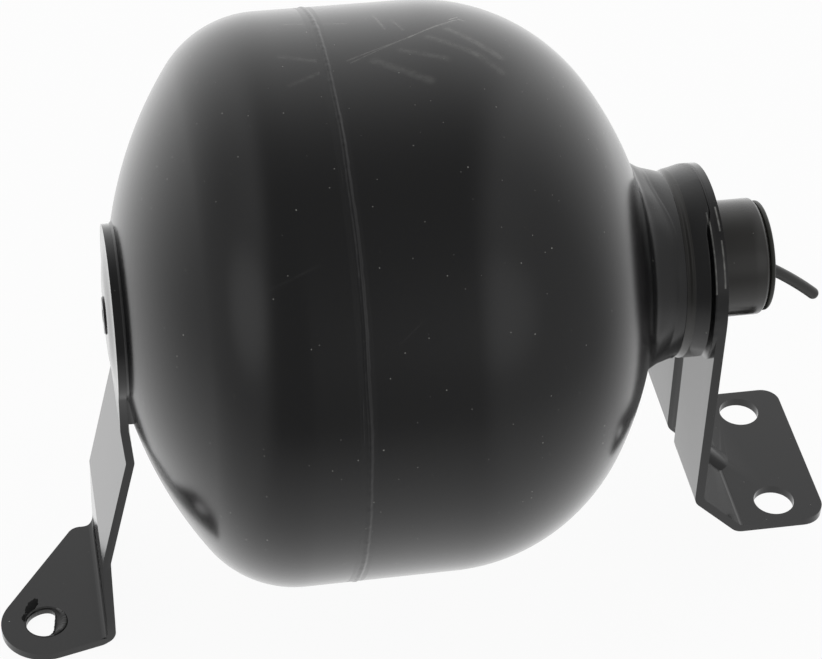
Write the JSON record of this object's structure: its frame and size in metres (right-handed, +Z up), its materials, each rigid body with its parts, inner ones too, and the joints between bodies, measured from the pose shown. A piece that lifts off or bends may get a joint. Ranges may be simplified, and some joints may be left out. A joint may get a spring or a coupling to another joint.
{
  "type": "suspension accumulator",
  "caption": "Welded diaphragm accumulator on two folded sheet feet: stores fluid against gas behind a rubber cup, with a plugged threaded port at one end.",
  "frame": {"origin": "on the vessel's axis, in the plane of the girth weld", "axes": "+X along the vessel's axis towards the port, +Z up, away from the feet, +Y across the feet"},
  "size_m": [0.1836, 0.1208, 0.1374],
  "materials": {
    "painted_steel": "satin black paint on deep-drawn and turned steel",
    "painted_sheet": "satin black paint on folded steel sheet",
    "painted_weld": "satin black paint over a weld bead",
    "bare_steel": "turned bare steel",
    "nitrile_rubber": "moulded rubber",
    "soft_plastic": "moulded soft plastic, olive black"
  },
  "bodies": {
    "vessel": {"gas_shell": "painted_steel", "fluid_shell": "painted_steel", "girth_weld": "painted_weld", "support_ring": "bare_steel", "clamp_ring": "bare_steel", "diaphragm": "nitrile_rubber", "charge_plug": "painted_steel", "charge_plug_seal": "nitrile_rubber", "port_fitting": "painted_steel", "neck_weld": "painted_weld", "port_bracket": "painted_sheet", "port_bracket_weld": "painted_weld", "end_bracket": "painted_sheet", "end_bracket_weld": "painted_weld"},
    "button": {"closing_button": "bare_steel"},
    "plug": {"transport_plug": "soft_plastic"}
  },
  "joints": [
    {"name": "button_slide", "type": "slide", "parent": "vessel", "child": "button", "axis": [-1, 0, 0], "range_m": [0, 0.05], "stiffness_N_per_m": 50, "springref_m": -0.02, "deforming": ["diaphragm"]},
    {"name": "plug_pull", "type": "slide", "parent": "vessel", "child": "plug", "axis": [1, 0, 0], "range_m": [0, 0.012]}
  ]
}
